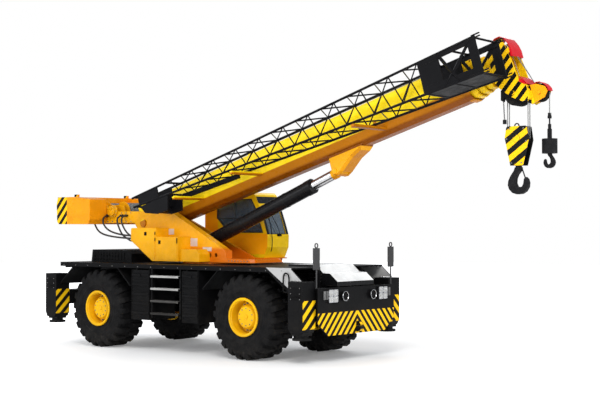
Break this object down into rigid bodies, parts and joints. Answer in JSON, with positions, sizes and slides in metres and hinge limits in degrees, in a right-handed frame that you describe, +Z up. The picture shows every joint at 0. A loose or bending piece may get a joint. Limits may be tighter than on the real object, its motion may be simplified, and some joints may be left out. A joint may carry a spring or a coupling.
{
  "type": "mobile crane",
  "caption": "Two-axle rough-terrain crane with a telescopic boom, side-stowed lattice jib, slewing cab and counterweight, steered earthmover wheels and sliding outriggers",
  "frame": {"origin": "on the ground, below the middle of the whole crane's outline as stored", "axes": "+X forward along the carrier and the boom, +Y to the driver's left, +Z up"},
  "size_m": [12.7577, 3.3, 6.2682],
  "materials": {
    "orange": "gloss safety orange paint",
    "yellow": "gloss yellow paint",
    "grey": "pale grey paint",
    "dark": "black paint",
    "cast": "painted casting",
    "tyre": "black tyre rubber",
    "glass": "tinted glass",
    "lens": "lamp lens",
    "steel": "worked steel",
    "chrome": "hard-chromed rod",
    "seat": "woven seat cloth"
  },
  "bodies": {
    "carrier": {"chassis_frame": "dark", "outrigger_boxes": "dark", "deck": "dark", "front_hood": "grey", "engine_hood": "dark", "engine_block": "cast", "front_apron": "dark", "lamps": "lens", "side_boxes": "dark", "ladders": "dark", "carrier_mirrors": "dark", "front_axle": "cast", "rear_axle": "cast"},
    "steer_front_right": {"knuckle_front_right": "cast"},
    "wheel_front_right": {"rim_front_right": "yellow", "tyre_front_right": "tyre"},
    "beam_front_right": {"outrigger_beam_front_right": "dark"},
    "jack_front_right": {"outrigger_jack_front_right": "dark"},
    "steer_front_left": {"knuckle_front_left": "cast"},
    "wheel_front_left": {"rim_front_left": "yellow", "tyre_front_left": "tyre"},
    "beam_front_left": {"outrigger_beam_front_left": "dark"},
    "jack_front_left": {"outrigger_jack_front_left": "dark"},
    "steer_rear_right": {"knuckle_rear_right": "cast"},
    "wheel_rear_right": {"rim_rear_right": "yellow", "tyre_rear_right": "tyre"},
    "beam_rear_right": {"outrigger_beam_rear_right": "dark"},
    "jack_rear_right": {"outrigger_jack_rear_right": "dark"},
    "steer_rear_left": {"knuckle_rear_left": "cast"},
    "wheel_rear_left": {"rim_rear_left": "yellow", "tyre_rear_left": "tyre"},
    "beam_rear_left": {"outrigger_beam_rear_left": "dark"},
    "jack_rear_left": {"outrigger_jack_rear_left": "dark"},
    "superstructure": {"turntable_frame": "orange", "counterweight": "orange", "lockers": "orange", "cab_shell": "yellow", "cab_glass": "glass", "operator_chair": "seat"},
    "main_winch": {"main_winch_drum": "cast"},
    "aux_winch": {"aux_winch_drum": "cast"},
    "cab_door": {"cab_door": "yellow", "cab_door_glass": "glass"},
    "boom": {"boom_base": "yellow", "jib": "dark"},
    "section_2": {"boom_section_2": "yellow"},
    "section_3": {"boom_section_3": "yellow"},
    "section_4": {"boom_section_4": "yellow"},
    "section_5": {"boom_section_5": "yellow", "boom_head": "yellow"},
    "head_sheaves": {"head_sheaves": "cast"},
    "nose_sheave": {"nose_sheave": "cast"},
    "lift_barrel": {"lift_barrel": "yellow"},
    "lift_rod": {"lift_rod": "chrome"},
    "falls": {"rope_falls": "steel"},
    "hook_block": {"hook_block": "yellow"},
    "hook": {"hook": "steel"},
    "aux_line": {"aux_rope": "steel"},
    "aux_hook": {"aux_hook": "steel"}
  },
  "joints": [
    {"name": "steer_front_right", "type": "hinge", "parent": "carrier", "child": "steer_front_right", "pos_m": [0.06, -0.92, 0.89], "axis": [0, 0, 1], "range_deg": [-28, 28]},
    {"name": "roll_front_right", "type": "hinge", "parent": "steer_front_right", "child": "wheel_front_right", "pos_m": [0.06, -1.17, 0.89], "axis": [0, 1, 0], "continuous": true},
    {"name": "outrigger_reach_front_right", "type": "slide", "parent": "carrier", "child": "beam_front_right", "axis": [0, -1, 0], "range_m": [0, 2]},
    {"name": "jack_drop_front_right", "type": "slide", "parent": "beam_front_right", "child": "jack_front_right", "axis": [0, 0, -1], "range_m": [0, 0.5]},
    {"name": "steer_front_left", "type": "hinge", "parent": "carrier", "child": "steer_front_left", "pos_m": [0.06, 0.92, 0.89], "axis": [0, 0, 1], "range_deg": [-28, 28]},
    {"name": "roll_front_left", "type": "hinge", "parent": "steer_front_left", "child": "wheel_front_left", "pos_m": [0.06, 1.17, 0.89], "axis": [0, 1, 0], "continuous": true},
    {"name": "outrigger_reach_front_left", "type": "slide", "parent": "carrier", "child": "beam_front_left", "axis": [0, 1, 0], "range_m": [0, 2]},
    {"name": "jack_drop_front_left", "type": "slide", "parent": "beam_front_left", "child": "jack_front_left", "axis": [0, 0, -1], "range_m": [0, 0.5]},
    {"name": "steer_rear_right", "type": "hinge", "parent": "carrier", "child": "steer_rear_right", "pos_m": [-4.44, -0.92, 0.89], "axis": [0, 0, 1], "range_deg": [-28, 28]},
    {"name": "roll_rear_right", "type": "hinge", "parent": "steer_rear_right", "child": "wheel_rear_right", "pos_m": [-4.44, -1.17, 0.89], "axis": [0, 1, 0], "continuous": true},
    {"name": "outrigger_reach_rear_right", "type": "slide", "parent": "carrier", "child": "beam_rear_right", "axis": [0, -1, 0], "range_m": [0, 2]},
    {"name": "jack_drop_rear_right", "type": "slide", "parent": "beam_rear_right", "child": "jack_rear_right", "axis": [0, 0, -1], "range_m": [0, 0.5]},
    {"name": "steer_rear_left", "type": "hinge", "parent": "carrier", "child": "steer_rear_left", "pos_m": [-4.44, 0.92, 0.89], "axis": [0, 0, 1], "range_deg": [-28, 28]},
    {"name": "roll_rear_left", "type": "hinge", "parent": "steer_rear_left", "child": "wheel_rear_left", "pos_m": [-4.44, 1.17, 0.89], "axis": [0, 1, 0], "continuous": true},
    {"name": "outrigger_reach_rear_left", "type": "slide", "parent": "carrier", "child": "beam_rear_left", "axis": [0, 1, 0], "range_m": [0, 2]},
    {"name": "jack_drop_rear_left", "type": "slide", "parent": "beam_rear_left", "child": "jack_rear_left", "axis": [0, 0, -1], "range_m": [0, 0.5]},
    {"name": "slew", "type": "hinge", "parent": "carrier", "child": "superstructure", "pos_m": [-2.19, 0, 1.935], "axis": [0, 0, 1], "continuous": true},
    {"name": "main_winch_turn", "type": "hinge", "parent": "superstructure", "child": "main_winch", "pos_m": [-4.93, 0, 3.13], "axis": [0, 1, 0], "continuous": true},
    {"name": "aux_winch_turn", "type": "hinge", "parent": "superstructure", "child": "aux_winch", "pos_m": [-5.52, 0, 3.13], "axis": [0, 1, 0], "continuous": true},
    {"name": "cab_door_slide", "type": "slide", "parent": "superstructure", "child": "cab_door", "axis": [-1, 0, 0], "range_m": [0, 0.6]},
    {"name": "boom_luff", "type": "hinge", "parent": "superstructure", "child": "boom", "pos_m": [-3.89, 0, 2.84], "axis": [0, -1, 0], "range_deg": [-16.3, 61.7]},
    {"name": "telescope_2", "type": "slide", "parent": "boom", "child": "section_2", "axis": [0.9598, 0, 0.2807], "range_m": [0, 8.1]},
    {"name": "telescope_3", "type": "slide", "parent": "section_2", "child": "section_3", "axis": [0.9598, 0, 0.2807], "range_m": [0, 8.1]},
    {"name": "telescope_4", "type": "slide", "parent": "section_3", "child": "section_4", "axis": [0.9598, 0, 0.2807], "range_m": [0, 8.1]},
    {"name": "telescope_5", "type": "slide", "parent": "section_4", "child": "section_5", "axis": [0.9598, 0, 0.2807], "range_m": [0, 8.1]},
    {"name": "head_sheaves_turn", "type": "hinge", "parent": "section_5", "child": "head_sheaves", "pos_m": [5.6271, 0, 5.23229], "axis": [0, 1, 0], "continuous": true},
    {"name": "nose_sheave_turn", "type": "hinge", "parent": "section_5", "child": "nose_sheave", "pos_m": [6.10643, 0, 5.22138], "axis": [0, 1, 0], "continuous": true},
    {"name": "lift_barrel_swing", "type": "hinge", "parent": "superstructure", "child": "lift_barrel", "pos_m": [-3.05, 0, 2.14], "axis": [0, -1, 0], "range_deg": [-25, 70]},
    {"name": "lift_rod_reach", "type": "slide", "parent": "lift_barrel", "child": "lift_rod", "axis": [0.9295, 0, 0.3687], "range_m": [-0.35, 1.2]},
    {"name": "falls_plumb", "type": "hinge", "parent": "section_5", "child": "falls", "pos_m": [5.6271, 0, 5.23229], "axis": [0, 1, 0], "range_deg": [-20, 65]},
    {"name": "hook_block_swing", "type": "hinge", "parent": "falls", "child": "hook_block", "pos_m": [5.6271, 0, 4.39229], "axis": [0, 1, 0], "range_deg": [-10, 10]},
    {"name": "hook_swivel", "type": "hinge", "parent": "hook_block", "child": "hook", "pos_m": [5.6271, 0, 3.89229], "axis": [0, 0, 1], "continuous": true},
    {"name": "aux_line_plumb", "type": "hinge", "parent": "section_5", "child": "aux_line", "pos_m": [6.10643, 0, 5.22138], "axis": [0, 1, 0], "range_deg": [-20, 65]},
    {"name": "aux_hook_swing", "type": "hinge", "parent": "aux_line", "child": "aux_hook", "pos_m": [6.26673, 0, 4.82138], "axis": [0, -1, 0], "range_deg": [-10, 10]}
  ],
  "couplings": [
    {"joint": "steer_front_left", "follows": "steer_front_right", "ratio": 1},
    {"joint": "steer_rear_left", "follows": "steer_rear_right", "ratio": 1},
    {"joint": "telescope_3", "follows": "telescope_2", "ratio": 1},
    {"joint": "telescope_4", "follows": "telescope_2", "ratio": 1},
    {"joint": "telescope_5", "follows": "telescope_2", "ratio": 1},
    {"joint": "lift_barrel_swing", "follows": "boom_luff", "ratio": 1.02},
    {"joint": "lift_rod_reach", "follows": "boom_luff", "m_per_rad": 1.05},
    {"joint": "falls_plumb", "follows": "boom_luff", "ratio": 1},
    {"joint": "aux_line_plumb", "follows": "boom_luff", "ratio": 1}
  ]
}
